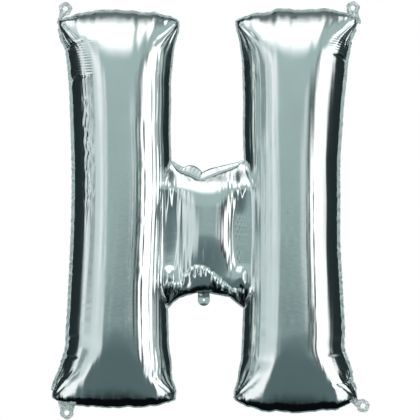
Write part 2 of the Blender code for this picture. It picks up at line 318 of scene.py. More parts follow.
def through(points, at):
    """A smooth curve through a few measured points."""
    px, py = np.array(points, float).T
    slope = np.gradient(py, px)
    k = np.clip(np.searchsorted(px, at) - 1, 0, len(px) - 2)
    wide = px[k + 1] - px[k]
    t = np.clip((at - px[k]) / wide, 0, 1)
    return ((1 + 2 * t) * (1 - t) ** 2 * py[k] + t * (1 - t) ** 2 * wide * slope[k]
            + t * t * (3 - 2 * t) * py[k + 1] + t * t * (t - 1) * wide * slope[k + 1])


def ease(value, low, high):
    """0 below low, 1 above high and smooth between them."""
    t = np.clip((value - low) / (high - low), 0, 1)
    return t * t * (3 - 2 * t)


def lines(stretches):
    """The cut lines of the sheet in one direction."""
    made = [stretches[0][0]]
    for start, end, step in stretches:
        count = round((end - start) / step)
        made += [start + (end - start) * (i + 1) / count for i in range(count)]
    return np.array(made)


def wander(at, pitch, seed, octaves=3):
    """A smooth uneven wave along a seam, between about -1 and 1."""
    rng = np.random.default_rng(seed)
    total = np.zeros_like(at)
    for octave in range(octaves):
        for wave in range(4):
            length = pitch * rng.uniform(0.75, 1.35) / 1.9 ** octave
            total += np.sin(2 * math.pi * at / length + rng.uniform(0, 2 * math.pi)) * 0.62 ** octave
    return total / 3.2


def lip(away, reach):
    """A quarter round that starts square to the seam: 0 at it and 1 from its reach on."""
    return np.sqrt(1 - (1 - np.clip(away / reach, 0, 1)) ** 2)


def fall(away, reach, depth, power):
    """How far a surface falls back near its edge; it goes on in a straight line past the edge."""
    return depth * np.where(away > 0, (1 - np.clip(away / reach, 0, 1)) ** power, 1 - power * away / reach)


def sine_fit(level, arc):
    """The places -1 to 1 of a film as they draw together on an arc."""
    return np.sin(arc * level) / math.sin(arc)


flat_x, flat_z = np.meshgrid(lines(COLUMNS), lines(ROWS))
side = np.where(flat_x < 0, -1, 1)
half_leg, half_bar, half_height = LEG_FLAT / 2, BAR_FLAT / 2, HEIGHT_FLAT / 2
place = (np.abs(flat_x) - half_bar - half_leg) / half_leg
leg_place = np.clip(place, -1, 1)
on_leg = np.abs(flat_x) >= half_bar - 1e-9
in_bar_rows = (flat_z >= BAR_FLAT_BOTTOM - 1e-9) & (flat_z <= BAR_FLAT_TOP + 1e-9)


def by_side(table, what, at):
    """A curve of the left leg on the left and of the right leg on the right."""
    return np.where(side < 0, through(table[-1, what], at), through(table[1, what], at))


# Heights: the ends are drawn in by the rounding, each end seam bows, and its edge is scalloped.
END_TOP, END_BOTTOM = 0.388, -0.388
END_RAISED, END_LOWERED = 0.0022, 0.0020
ENDS_BOW_FROM = 0.22
SCALLOP, SCALLOP_PITCH, SCALLOP_REACH = 0.0016, 0.060, 0.035
SCALLOP_SEED = 5

shrink = half_height - END_TOP
z = flat_z - np.sign(flat_z) * shrink * (np.abs(flat_z) / half_height) ** 4
top_line = by_side(ENDS, "top", leg_place) + END_RAISED
bottom_line = by_side(ENDS, "bottom", leg_place) - END_LOWERED
z = z + ease(flat_z, ENDS_BOW_FROM, half_height) * (top_line - END_TOP)
z = z + ease(-flat_z, ENDS_BOW_FROM, half_height) * (bottom_line - END_BOTTOM)
scallop = SCALLOP * wander(flat_x, SCALLOP_PITCH, SCALLOP_SEED)
z = z + scallop * (1 - ease(half_height - np.abs(flat_z), 0, SCALLOP_REACH))
top_line = top_line + np.where(flat_z > 0, scallop, 0)
bottom_line = bottom_line + np.where(flat_z < 0, scallop, 0)

# Places across: the side seams of the legs are drawn in, and those of the crossbar sag.
LEG_ARC, BAR_ARC = 1.2, 1.15
BAR_EVEN_OUT = 0.8

outer, inner = by_side(SEAMS, "outer", z), by_side(SEAMS, "inner", z)
half_width = np.abs(outer - inner) / 2
x_leg = (outer + inner) / 2 + side * half_width * sine_fit(leg_place, LEG_ARC)
share = np.clip(flat_x / half_bar, -1, 1)
left_line, right_line = through(SEAMS[-1, "inner"], z), through(SEAMS[1, "inner"], z)
x_bar = left_line + (right_line - left_line) * (share + 1) / 2
x = np.where(on_leg, x_leg, x_bar)
top_seam, bottom_seam = through(BAR_TOP_SEAM, x_bar), through(BAR_BOTTOM_SEAM, x_bar)
middle, half_bar_height = (top_seam + bottom_seam) / 2, (top_seam - bottom_seam) / 2
flat_middle = (BAR_FLAT_TOP + BAR_FLAT_BOTTOM) / 2
level = np.clip((flat_z - flat_middle) / (BAR_FLAT_TOP - flat_middle), -1, 1)
drawn_in = (1 - share ** 2) ** BAR_EVEN_OUT
z_bar = (middle + half_bar_height * sine_fit(level, BAR_ARC)) * drawn_in
z_bar = z_bar + (middle + half_bar_height * level) * (1 - drawn_in)
z = np.where(on_leg, z, z_bar)

# Depth of the legs. Beside the crossbar their inner walls lean in to the pinched ends of the hollows.
LEG_TURN = math.radians(73.6)
LEG_DEPTH = 0.0735
# How the ends round off: reach, power, and the round lip at the seam with its height
END_ABOVE = (0.20, 3.2, 0.010, 0.008)
END_BELOW = (0.17, 2.3, 0.0190, 0.030)
SHORTER_BESIDE = 0.32
# How round the hips are between side and end, and how far the tips of the corners are drawn out
HIP, HIP_TOP_LEFT, HIP_TOP_RIGHT = 3.4, 2.2, 1.7
HIP_SIDE, HIP_RISE = (-0.2, 0.5), (0.18, 0.30)
TIP_POWER, TIP_JOIN = 1.6, 8
# Hollows where the crossbar meets each leg, their ends pinched shut: middle, half width, depth
HOLLOWS = {-1: (-0.0757, 0.0168, 0.030), 1: (0.0680, 0.0150, 0.036)}
HOLLOW_MIDDLE, HOLLOW_HALF = -0.0495, 0.0905
HOLLOW_END_SOFT = 0.015
HOLLOW_LEAN, HOLLOW_LEAN_REACH, HOLLOW_LEAN_FADE = 0.006, 0.036, (0.85, 1.62)

v = (z - HOLLOW_MIDDLE) / HOLLOW_HALF
open_share = (1 - v ** 2 + np.sqrt((1 - v ** 2) ** 2 + HOLLOW_END_SOFT)) / 2
hollow_x, hollow_half, hollow_depth = (np.where(side < 0, a, b) for a, b in zip(HOLLOWS[-1], HOLLOWS[1]))
from_inner = side * (x - inner)
lean_in = HOLLOW_LEAN * np.clip(1 - open_share, 0, 1) * (1 - ease(np.abs(v), *HOLLOW_LEAN_FADE))
lean_in = lean_in * (1 - ease(from_inner, 0.0, HOLLOW_LEAN_REACH)) * in_bar_rows
from_side = np.minimum(side * (outer - x), from_inner + lean_in)
lean = np.arcsin(np.clip(1 - from_side / half_width, 0, 1) * math.sin(LEG_TURN))
side_share = np.clip((np.cos(lean) - math.cos(LEG_TURN)) / (1 - math.cos(LEG_TURN)), 0, 1)
from_end = np.maximum(np.minimum(top_line - z, z - bottom_line), 0)
end_reach, end_power, lip_reach, end_lip = (np.where(z > 0, a, b) for a, b in zip(END_ABOVE, END_BELOW))
end_reach = end_reach * np.where(z > 0, 1 - SHORTER_BESIDE * leg_place ** 2, 1)
end_share = 1 - (1 - np.clip(from_end / end_reach, 0, 1)) ** end_power
end_share = end_share + end_lip / LEG_DEPTH * lip(from_end, lip_reach) * (1 - end_share)
hip_top = HIP_TOP_LEFT + (HIP_TOP_RIGHT - HIP_TOP_LEFT) * ease(side * leg_place, *HIP_SIDE)
hip = HIP + (hip_top - HIP) * ease(z, *HIP_RISE)
taut = np.maximum(1 - ((1 - side_share) ** hip + (1 - end_share) ** hip) ** (1 / hip), 0)
# The tip of each corner is drawn out to a point, with a ridge that runs into it.
tip = np.maximum(side_share, 1e-3) ** -TIP_POWER + np.maximum(end_share, 1e-3) ** -TIP_POWER - 1
tip = tip ** (-1 / TIP_POWER) * ease(np.minimum(side_share, end_share), 0.0, 0.02)
y_leg = LEG_DEPTH * (taut ** TIP_JOIN + tip ** TIP_JOIN) ** (1 / TIP_JOIN)

# Depth of the crossbar: steep at its seams, rounded across, with a bowl in each hollow.
BAR_DEPTH = 0.060
BAR_LIP_ABOVE, BAR_LIP_BELOW = 0.0016, 0.011
# How the crossbar rounds off above its belly and below it: level, reach, how far it falls back, power
BAR_ABOVE = (0.0592, 0.055, 0.024, 2.2)
BAR_BELOW = (0.0, 0.042, 0.019, 2.6)
BAR_LEAST = 0.008
BELLY_LEAN, BELLY_LEAN_FROM = 0.010, (0.03, 0.12)
BELLY_JOIN = 14
ROUND_LEFT, ROUND_RIGHT, ROUND_SOFT = 1.7, 2.8, 0.10
PINCH_DEPTH = 0.045
BOWL_HALF, FURROW_HALF, FURROW_DEPTH = 0.012, 0.006, 0.006
# The bowls: where each turns from its floor to its lower end, and how its floor rises to the top
BOWL_LEFT_FROM, BOWL_LEFT_RISE, BOWL_LEFT_POWER = -0.095, 0.135, 1.6
BOWL_RIGHT_FROM, BOWL_RIGHT_TOP, BOWL_RIGHT_RISE = -0.060, -0.012, 0.052
BOWL_END, RIGHT_END_HIGHER, BOWL_SHORT = (0.110, 0.133), 1.7, 0.004
# The ends of the grooves: their heights, and over how far they close
GROOVE_TOP, GROOVE_TOP_SOFT = 0.0979, (0.002, 0.058)
GROOVE_BOTTOM, GROOVE_BOTTOM_SOFT, GROOVE_POINTED = -0.2017, (-0.004, 0.064), 0.7
GROOVE_LIP = 0.006
BAR_REACH = (-0.074, 0.077)
BAR_FADES = (0.13, 0.175)
JOIN, JOIN_FROM = 0.009, 0.012

reach = np.clip(x, *BAR_REACH)
below_top = np.maximum(through(BAR_TOP_SEAM, reach) - z, 0)
above_bottom = np.maximum(z - through(BAR_BOTTOM_SEAM, reach), 0)
high = BAR_DEPTH - fall(BAR_ABOVE[0] - z, *BAR_ABOVE[1:])
high = np.maximum(high, BAR_LEAST) * lip(below_top, BAR_LIP_ABOVE)
low = BAR_DEPTH - fall(above_bottom, *BAR_BELOW[1:]) - BELLY_LEAN * (1 - ease(above_bottom, *BELLY_LEAN_FROM))
low = low * lip(above_bottom, BAR_LIP_BELOW)
body = np.maximum(high, 1e-6) ** -BELLY_JOIN + np.maximum(low, 1e-6) ** -BELLY_JOIN
body = 1 / body ** (1 / BELLY_JOIN)
from_hollow = x - hollow_x
bowl_end = ease(-z, *BOWL_END)
bowl_floor = np.clip((z - BOWL_LEFT_FROM) / BOWL_LEFT_RISE, 0, 1) ** BOWL_LEFT_POWER
bowl_left = np.where(z > BOWL_LEFT_FROM, bowl_floor, bowl_end)
bowl_top = np.clip((z - BOWL_RIGHT_TOP) / BOWL_RIGHT_RISE, 0, 1) ** 2
bowl_right = np.where(z > BOWL_RIGHT_FROM, bowl_top, RIGHT_END_HIGHER * bowl_end)
bowl = np.where(side < 0, bowl_left, bowl_right) * np.exp(-(from_hollow / BOWL_HALF) ** 2)
groove = hollow_depth + (PINCH_DEPTH - hollow_depth - BOWL_SHORT) * bowl
groove = groove + FURROW_DEPTH * bowl_top * np.exp(-(from_hollow / FURROW_HALF) ** 2)
turn_low = ease(z - GROOVE_BOTTOM + GROOVE_POINTED * np.abs(from_hollow), *GROOVE_BOTTOM_SOFT)
ends_of_groove = np.where(z > HOLLOW_MIDDLE, ease(GROOVE_TOP - z, *GROOVE_TOP_SOFT), turn_low)
groove = groove * ends_of_groove * lip(np.minimum(below_top, above_bottom), GROOVE_LIP)
left_edge = HOLLOWS[-1][0] + HOLLOWS[-1][1] * open_share
right_edge = HOLLOWS[1][0] - HOLLOWS[1][1] * open_share
across_bar = (2 * x - left_edge - right_edge) / (right_edge - left_edge)
rounding = 1 - np.abs(across_bar) ** np.where(across_bar < 0, ROUND_LEFT, ROUND_RIGHT)
rounding = (rounding + np.sqrt(rounding ** 2 + ROUND_SOFT ** 2)) / 2
bar = groove + np.maximum(body - groove, 0) * np.minimum(rounding, 1)
bar = np.minimum(bar, body) * (1 - ease(np.abs(x), *BAR_FADES)) * in_bar_rows
bar = np.maximum(bar, 0)
closeness = np.clip(1 - np.abs(y_leg - bar) / JOIN, 0, 1) * ease(np.minimum(y_leg, bar), 0.0, JOIN_FROM)
y = np.maximum(y_leg, bar) + JOIN / 4 * closeness ** 2
film = np.stack([x, -y, z], axis=-1)

# How far each point of the sheet lies from the seams, measured in the flat pattern
from_seam = {1: (1 - place) * half_leg, -1: (1 + place) * half_leg}
inner_away = np.where(in_bar_rows, 1.0, from_seam[-1])
side_away = np.where(on_leg, np.minimum(from_seam[1], inner_away), 1.0)
end_away = np.where(on_leg, half_height - np.abs(flat_z), 1.0)
bar_away = np.minimum(BAR_FLAT_TOP - flat_z, flat_z - BAR_FLAT_BOTTOM)
on_bar = np.where(on_leg, 0, 1) * in_bar_rows


def strip(leg, seam, away, half_spread):
    """1 on a strip of one leg at a distance from one of its side seams, and 0 elsewhere."""
    return np.exp(-((from_seam[seam] - away) / half_spread) ** 4) * (side == leg) * on_leg


# Long ripples: leg, seam, distance from it, half width, lowest, highest, pitch, length, how far
# they stand, how much they wind
RIPPLES = (
    (-1, 1, 0.054, 0.018, -0.02, 0.28, 0.0110, 0.060, 0.00060, 0.10),
    (-1, 1, 0.100, 0.024, -0.36, 0.30, 0.0160, 0.120, 0.00014, 0.10),
    (-1, -1, 0.044, 0.015, -0.36, 0.33, 0.0085, 0.200, 0.00062, 0.08),
    (-1, -1, 0.064, 0.010, -0.36, 0.33, 0.0120, 0.160, 0.00030, 0.08),
    (-1, -1, 0.086, 0.020, -0.34, 0.20, 0.0110, 0.090, 0.00056, 0.12),
    (-1, -1, 0.120, 0.022, -0.34, -0.08, 0.0150, 0.200, 0.00014, 0.03),
    (1, -1, 0.056, 0.034, -0.33, 0.30, 0.0150, 0.150, 0.00040, 0.12),
    (1, -1, 0.110, 0.026, -0.36, 0.10, 0.0160, 0.130, 0.00020, 0.10),
    (1, 1, 0.092, 0.016, -0.34, 0.06, 0.0100, 0.100, 0.00042, 0.12),
)
RIPPLE_END = 0.03
SLACK_STAND, SLACK_PITCH = 0.00010, 0.030


def ripples(seed):
    """Ripples that run down the legs, where the side seams have drawn the film together."""
    sway = flat_x + 0.006 * np.sin(flat_z * 9 + seed)
    total = SLACK_STAND * wander(sway, SLACK_PITCH, seed) * ease(side_away, 0, 0.03)
    for number, (leg, seam, away, half_spread, bottom, top, pitch, run, stand, slack) in enumerate(RIPPLES):
        patch = ease(flat_z, bottom - RIPPLE_END, bottom + RIPPLE_END)
        patch = patch * (1 - ease(flat_z, top - RIPPLE_END, top + RIPPLE_END))
        patch = patch * strip(leg, seam, away, half_spread)
        drift = slack * pitch * wander(flat_z, 2.5 * run, seed + 60 + number, 1)
        streak = wander(flat_x + drift, pitch, seed + 20 + number, 2)
        total += stand * streak * (0.8 + 0.5 * wander(flat_z, run, seed + 40 + number)) * patch
    return total


# The crumpled patch beside the left leg's outer seam: distance from it, height, half sizes
PATCH_AWAY, PATCH_HEIGHT = 0.056, 0.115
PATCH_HALF_WIDTH, PATCH_HALF_LENGTH = 0.017, 0.115
PATCH_STAND, PATCH_PITCH, PATCH_LENGTH = 0.0017, 0.012, 0.036


def crumpled_patch(seed):
    """Film that has been squeezed in handling."""
    off_side = (from_seam[1] - PATCH_AWAY) / PATCH_HALF_WIDTH
    off_height = (flat_z - PATCH_HEIGHT) / PATCH_HALF_LENGTH
    patch = np.exp(-off_side ** 4 - off_height ** 4) * (side < 0) * on_leg
    crumple = wander(flat_x + 0.004 * wander(flat_z, 0.060, seed + 92, 1), PATCH_PITCH, seed + 90, 2)
    crumple *= 0.35 + 0.9 * wander(flat_z + 0.5 * flat_x, PATCH_LENGTH, seed + 91, 1)
    return PATCH_STAND * crumple * patch


# Ribbed stretches beside the side seams: leg, seam, height, half length, distance from the seam
# in the flat sheet, half width, how far the ribs stand
RIBS = (
    (-1, 1, 0.315, 0.042, 0.052, 0.024, 0.00042), (-1, -1, 0.325, 0.036, 0.014, 0.014, 0.00045),
    (1, 1, 0.345, 0.032, 0.036, 0.020, 0.00038), (1, -1, 0.345, 0.034, 0.014, 0.014, 0.00045),
    (-1, 1, -0.345, 0.034, 0.020, 0.014, 0.00045), (-1, -1, -0.345, 0.036, 0.020, 0.012, 0.00030),
    (1, 1, -0.345, 0.036, 0.044, 0.018, 0.00038), (1, -1, -0.345, 0.030, 0.016, 0.010, 0.00020),
)
RIB_PITCH, RIB_TURN, RIB_END = 0.0060, 0.03, 0.008
# Short creases across the side: leg, seam, height, how far in they run
CREASES = (
    (-1, 1, 0.352, 0.075), (-1, 1, 0.272, 0.080), (1, 1, 0.318, 0.060), (-1, 1, -0.268, 0.050),
    (-1, 1, -0.312, 0.055), (-1, 1, -0.360, 0.050), (1, 1, -0.302, 0.075), (1, 1, -0.372, 0.070),
)
CREASE_DEPTH, CREASE_HALF_WIDTH, CREASE_SLOPE = 0.0017, 0.0032, 0.10
SIDE_WAVE, SIDE_WAVE_PITCH, SIDE_WAVE_REACH = 0.0007, 0.050, 0.030


def ribs_and_creases(seed):
    """Ribs, creases and waves of the side walls, where the seam is shorter than the film."""
    total = 0.0
    for leg, seam, height, half_length, away, half_spread, stand in RIBS:
        patch = ease(half_length - np.abs(flat_z - height), 0, RIB_END) * strip(leg, seam, away, half_spread)
        total += stand * np.sin(2 * math.pi * flat_z / RIB_PITCH + 2 * flat_x / RIB_TURN) * patch
    for leg, seam, height, run in CREASES:
        near = from_seam[seam]
        line = flat_z - height - CREASE_SLOPE * (near - 0.02)
        patch = (1 - ease(near, 0.6 * run, run)) * (side == leg) * on_leg
        total -= CREASE_DEPTH * np.exp(-(line / CREASE_HALF_WIDTH) ** 2) * patch
    near_end = ease(np.abs(flat_z), 0.13, 0.30)
    wave = wander(flat_z, SIDE_WAVE_PITCH, seed + 2) * np.exp(-side_away / SIDE_WAVE_REACH)
    return total + SIDE_WAVE * wave * (0.3 + 0.7 * near_end)


# Puckers and dents along the end seams: pitch, how far they stand above and below, dent depth
PUCKER_PITCH, PUCKER_ABOVE, PUCKER_BELOW = 0.0068, 0.00010, 0.00030
DENT_DEPTH, DENT_PITCH = 0.0012, 0.045
# Folds that fan out of the corners
FAN_STAND, FAN_PITCH = 0.0013, 0.36


def end_folds(seed):
    """Folds at the ends of the legs, where the film turns over to the seam and into the corners."""
    pucker = np.sin(2 * math.pi * flat_x / PUCKER_PITCH + 2.2 * wander(flat_x, 0.05, seed + 4))
    pucker = pucker * np.exp(-((end_away - 0.022) / 0.010) ** 2) * ease(side_away, 0.02, 0.06)
    total = np.where(flat_z > 0, PUCKER_ABOVE, PUCKER_BELOW) * pucker
    dent = np.maximum(wander(flat_x, DENT_PITCH, seed + 8) - 0.25, 0)
    total -= DENT_DEPTH * dent * np.exp(-((end_away - 0.012) / 0.014) ** 2) * ease(side_away, 0.01, 0.05)
    for inward in (from_seam[1], inner_away):
        away = np.hypot(inward, end_away)
        turned = np.arctan2(end_away, np.maximum(inward, 1e-6))
        fan = wander(turned, FAN_PITCH, seed + 5, 2) * ease(turned, 0.70, 1.05)
        total += FAN_STAND * fan * ease(away, 0.004, 0.05) * (1 - ease(away, 0.07, 0.13)) * on_leg
    return total


# Fine ribs across the hollows, and the handled film in the right one
HOLLOW_RIB_PITCH, HOLLOW_RIB_STAND = 0.0064, 0.00006
SPECKLE_PITCH, SPECKLE_STAND = 0.0075, 0.00026


def hollow_folds(seed):
    """Fine relief in the pinched hollows beside the crossbar."""
    in_hollow = np.exp(-((x - hollow_x) / (0.9 * hollow_half * open_share + 1e-4)) ** 4) * in_bar_rows
    rib = np.sin(2 * math.pi * flat_z / HOLLOW_RIB_PITCH + 1.2 * wander(flat_z, 0.04, seed + 6))
    wobble = 0.0016 * wander(flat_z, 0.022, seed + 15, 1)
    speckle = wander(flat_x + wobble, SPECKLE_PITCH, seed + 14, 1) * (side > 0)
    return (HOLLOW_RIB_STAND * rib + SPECKLE_STAND * speckle) * in_hollow


# Ripples and long folds down the crossbar, and puckers along its seams
BAR_RIPPLE, BAR_RIPPLE_PITCH = 0.00018, 0.026
LONG_FOLD, LONG_FOLD_PITCH = 0.00040, 0.0095
BAR_PUCKER, BAR_PUCKER_PITCH = 0.0004, 0.018
# The arc where the belly of the crossbar turns under, as (place across, height)
CRUMPLE_ARC = ((-0.056, -0.150), (-0.050, -0.1425), (-0.0245, -0.117), (-0.0153, -0.1155),
               (-0.007, -0.117), (0.0174, -0.134), (0.048, -0.159), (0.056, -0.164))
ARC_HALF, ARC_STAND = 0.004, 0.0054
# Short ridges down the crossbar's belly: place across, top, bottom, how far they stand
BAR_STREAKS = ((-0.0030, -0.060, -0.116, 0.0013), (0.0133, -0.080, -0.128, 0.0013),
               (-0.0330, 0.030, -0.110, 0.0003), (-0.0480, 0.040, -0.130, 0.0006))
STREAK_HALF = 0.0022
# The dome over the inflation valve and the ticks on it: middle, half sizes, how far they stand
DOME_X, DOME_Z, DOME_HALF_WIDTH, DOME_HALF_HEIGHT, DOME_STAND = -0.0165, -0.157, 0.0215, 0.0270, 0.0032
TICK_X, TICK_Z, TICK_HALF_WIDTH, TICK_HALF_HEIGHT, TICK_STAND = -0.0125, -0.1445, 0.0125, 0.0060, 0.0008
TICK_PITCH = 0.0045


def bar_folds(seed):
    """Folds of the crossbar, the crumpled arc under its belly and the dome over the valve."""
    total = BAR_RIPPLE * wander(flat_x, BAR_RIPPLE_PITCH, seed + 9) * ease(bar_away, 0.01, 0.05)
    flank = ease(np.abs(across_bar), 0.30, 0.55) * (1 - ease(np.abs(across_bar), 0.85, 1.0))
    long_fold = wander(flat_x + 0.001 * wander(flat_z, 0.12, seed + 19, 1), LONG_FOLD_PITCH, seed + 18, 1)
    total += LONG_FOLD * long_fold * flank * ease(bar_away, 0.01, 0.04)
    pucker = wander(flat_x, BAR_PUCKER_PITCH, seed + 7)
    total += BAR_PUCKER * pucker * np.exp(-((bar_away - 0.014) / 0.010) ** 2)
    from_arc = z - through(CRUMPLE_ARC, np.clip(x, -0.056, 0.056)) + 0.0022 * wander(flat_x, 0.011, seed + 16)
    step_out = (1 - ease(from_arc, -ARC_HALF, ARC_HALF)) * ease(from_arc, -0.026, -0.005)
    total += ARC_STAND * (0.75 + 0.5 * wander(flat_x, 0.009, seed + 17)) * step_out
    for at, top, bottom, stand in BAR_STREAKS:
        run = ease(z, bottom, bottom + 0.01) * (1 - ease(z, top - 0.03, top))
        total += stand * np.exp(-((x - at) / STREAK_HALF) ** 2) * run
    dome = 1 - ((x - DOME_X) / DOME_HALF_WIDTH) ** 2 - ((z - DOME_Z) / DOME_HALF_HEIGHT) ** 2
    total += DOME_STAND * np.sqrt(np.clip(dome, 0, 1))
    tick = np.clip(np.sin(2 * math.pi * x / TICK_PITCH), 0.3, 1) - 0.3
    tick_share = ((x - TICK_X) / TICK_HALF_WIDTH) ** 6 + ((z - TICK_Z) / TICK_HALF_HEIGHT) ** 4
    total += TICK_STAND * tick * np.exp(-tick_share)
    return total * on_bar


def folds(seed):
    """How far the spare film stands in or out of the taut form. The seams themselves stay flat."""
    total = ripples(seed) + crumpled_patch(seed) + ribs_and_creases(seed)
    total = total + end_folds(seed) + hollow_folds(seed) + bar_folds(seed)
    edge = np.where(on_leg, np.minimum(side_away, end_away), bar_away)
    return total * ease(edge, 0, 0.006)


def outward(points):
    """Unit vectors that point out of the front of the letter."""
    sideways = np.gradient(points, flat_x[0], axis=1)
    upward = np.gradient(points, flat_z[:, 0], axis=0)
    normal = np.cross(sideways, upward)
    return normal / np.maximum(np.linalg.norm(normal, axis=-1, keepdims=True), 1e-12)


def in_sheet(place_across, height):
    """Whether a spot of the flat pattern lies on the letter and not in a bay."""
    return abs(place_across) >= half_bar or BAR_FLAT_BOTTOM <= height <= BAR_FLAT_TOP


def film_sheet(seed, facing):
    """One sheet: a grid with its two bays cut out, laid on the inflated form."""
    points = film + outward(film) * folds(seed)[..., None]
    points[..., 1] = (np.minimum(points[..., 1], 0) - SEAM_Y) * facing
    rows, columns = flat_x.shape
    sheet = bmesh.new()
    bmesh.ops.create_grid(sheet, x_segments=columns - 1, y_segments=rows - 1, size=0.5)
    bays = []
    for face in sheet.faces:
        spot = face.calc_center_median()
        c, r = int((spot.x + 0.5) * (columns - 1)), int((spot.y + 0.5) * (rows - 1))
        if not in_sheet((flat_x[0, c] + flat_x[0, c + 1]) / 2, (flat_z[r, 0] + flat_z[r + 1, 0]) / 2):
            bays.append(face)
    for vert in sheet.verts:
        c, r = round((vert.co.x + 0.5) * (columns - 1)), round((vert.co.y + 0.5) * (rows - 1))
        vert.co = points[r, c]
    bmesh.ops.delete(sheet, geom=bays, context="FACES")
    if facing < 0:
        bmesh.ops.reverse_faces(sheet, faces=sheet.faces)
    return sheet


SILVER = (0.865, 0.885, 0.885)
FILM_SEEDS = (11, 47)
CRINKLE_SCALE, CRINKLE_DEPTH, CLOUD_SCALE = 160.0, 0.001, 14.0
CLOUD_DULLER, CLOUD_ROUGHER = 0.95, 0.06


def foil(name, tint, rough, crinkle, metal=1.0):
    """Metallised film: a mirror with a faint cool tint and a fine crinkle."""
    made = bpy.data.materials.new(name)
    made.use_nodes = True
    tree = made.node_tree
    shader = tree.nodes["Principled BSDF"]
    at = node(tree, "ShaderNodeTexCoord")[3]
    fine = node(tree, "ShaderNodeTexNoise", {}, {"Vector": at, "Scale": CRINKLE_SCALE, "Detail": 3.0})[0]
    broad = node(tree, "ShaderNodeTexNoise", {}, {"Vector": at, "Scale": CLOUD_SCALE, "Detail": 4.0})[0]
    shader.inputs["Metallic"].default_value = metal
    duller = tuple(CLOUD_DULLER * c for c in tint)
    colour = blend_colours(tree, broad.step(0.3, 0.7), duller, tint)
    tree.links.new(colour.link, shader.inputs["Base Color"])
    tree.links.new((rough + CLOUD_ROUGHER * broad).link, shader.inputs["Roughness"])
    bump = node(tree, "ShaderNodeBump", {}, {"Strength": crinkle, "Distance": CRINKLE_DEPTH,
                                             "Height": fine + 2.0 * broad})[0]
    tree.links.new(bump.link, shader.inputs["Normal"])
    return made


def finish_piece(shape, name, material, slot, *nodes):
    """Makes the object of a shape, with its finish, the body it rides on and the nodes it replaces."""
    mesh = bpy.data.meshes.new(name)
    shape.to_mesh(mesh)
    shape.free()
    mesh.materials.append(material)
    mesh.shade_smooth()
    made = bpy.data.objects.new(name, mesh)
    bpy.context.scene.collection.objects.link(made)
    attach(made, "root")
    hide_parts(*nodes)
    return made


film_finish = foil("silver_film", SILVER, rough=0.12, crinkle=0.05)
front_sheet, back_sheet = film_sheet(FILM_SEEDS[0], 1), film_sheet(FILM_SEEDS[1], -1)
front_film = finish_piece(front_sheet, "front_film", film_finish, "panel_foil", "front_panel")
finish_piece(back_sheet, "back_film", film_finish, "panel_foil", "back_panel")

# Edge seal. Outside the seam the two films are welded flat into a thin strip. It is longer than
# the drawn-in seam, so it ruffles, and above the crossbar it widens into a folded web.
SEAL_WIDTH = 0.0042
SEAL_NARROWER = 0.55
SEAL_AT_TIPS = 0.0012
SEAL_UNDER_FILM = 0.0012
SEAL_THICK = 0.0007
SEAL_RINGS = 4
SEAL_SMOOTHINGS = 5
SEAL_SEEDS = (81, 82, 83)
SEAL_PALE = (0.96, 0.98, 0.98)
# Where the web, the tips of the corners and the narrower stretches lie: places across, heights
WEB_ACROSS, WEB_HEIGHT = (-0.074, 0.078), (0.05, 0.0975)
TIPS_BEYOND = (0.270, 0.370)
NARROW_WITHIN, NARROW_ABOVE = 0.085, 0.385
RUFFLE, RUFFLE_PITCH = 0.0012, 0.024
CRIMP, CRIMP_PITCH = 0.0006, 0.0085
RAGGED, RAGGED_PITCH = 0.16, 0.016
# Width of the web above the crossbar, and how far it leans back, as (place across, value)
WEB_WIDTH = ((-0.074, 0.004), (-0.060, 0.009), (-0.050, 0.0105), (-0.044, 0.0160), (-0.030, 0.0205),
             (-0.022, 0.0190), (-0.012, 0.0165), (-0.004, 0.0150), (0.012, 0.0150), (0.030, 0.0120),
             (0.055, 0.0090), (0.078, 0.004))
WEB_LEAN = ((-0.074, 0.4), (-0.040, 0.44), (-0.012, 0.46), (-0.008, 0.50), (0.030, 0.53), (0.078, 0.5))


def grow(shape, ring, source):
    """Extrudes a ring of edges. The new ring comes back, and which first point each point grew from."""
    made = bmesh.ops.extrude_edge_only(shape, edges=ring)["geom"]
    ring = [g for g in made if isinstance(g, bmesh.types.BMEdge) and all(v not in source for v in g.verts)]
    fresh = {}
    for vert in {v for e in ring for v in e.verts}:
        old = [e.other_vert(vert) for e in vert.link_edges if e.other_vert(vert) in source][0]
        fresh[vert] = source[old]
    return ring, fresh


def seal_width(at, uneven):
    """Width of the strip at a point of the seam, and how far it leans back there."""
    if WEB_ACROSS[0] < at.x < WEB_ACROSS[1] and WEB_HEIGHT[0] < at.z < WEB_HEIGHT[1]:
        width = float(through(WEB_WIDTH, np.array(at.x)))
        return width, width * float(through(WEB_LEAN, np.array(at.x)))
    if abs(at.x) > TIPS_BEYOND[0] and abs(at.z) > TIPS_BEYOND[1]:
        return SEAL_AT_TIPS, 0.0
    narrower = SEAL_NARROWER if abs(at.z) > NARROW_ABOVE or abs(at.x) < NARROW_WITHIN else 1
    return SEAL_WIDTH * (1 + uneven) * narrower, 0.0


# The film's border and, at each of its points, the way out of the letter
bm = bmesh.new()
bm.from_mesh(front_film.data)
border = [edge for edge in bm.edges if edge.is_boundary]
ways = {}
for edge in border:
    a, b = edge.verts
    run = b.co - a.co
    way = Vector((run.z, 0, -run.x)).normalized()
    inside = edge.link_faces[0].calc_center_median() - (a.co + b.co) / 2
    if way.dot(Vector((inside.x, 0, inside.z))) > 0:
        way = -way
    for vert in (a, b):
        ways[vert] = ways.get(vert, Vector()) + way
beside = {vert: [e.other_vert(vert) for e in vert.link_edges if e.is_boundary] for vert in ways}
for smoothing in range(SEAL_SMOOTHINGS):
    ways = {v: (w * 2 + sum((ways[o] for o in beside[v]), Vector())) / 4 for v, w in ways.items()}
ways = {v: w / max(w.length, 1.2) for v, w in ways.items()}
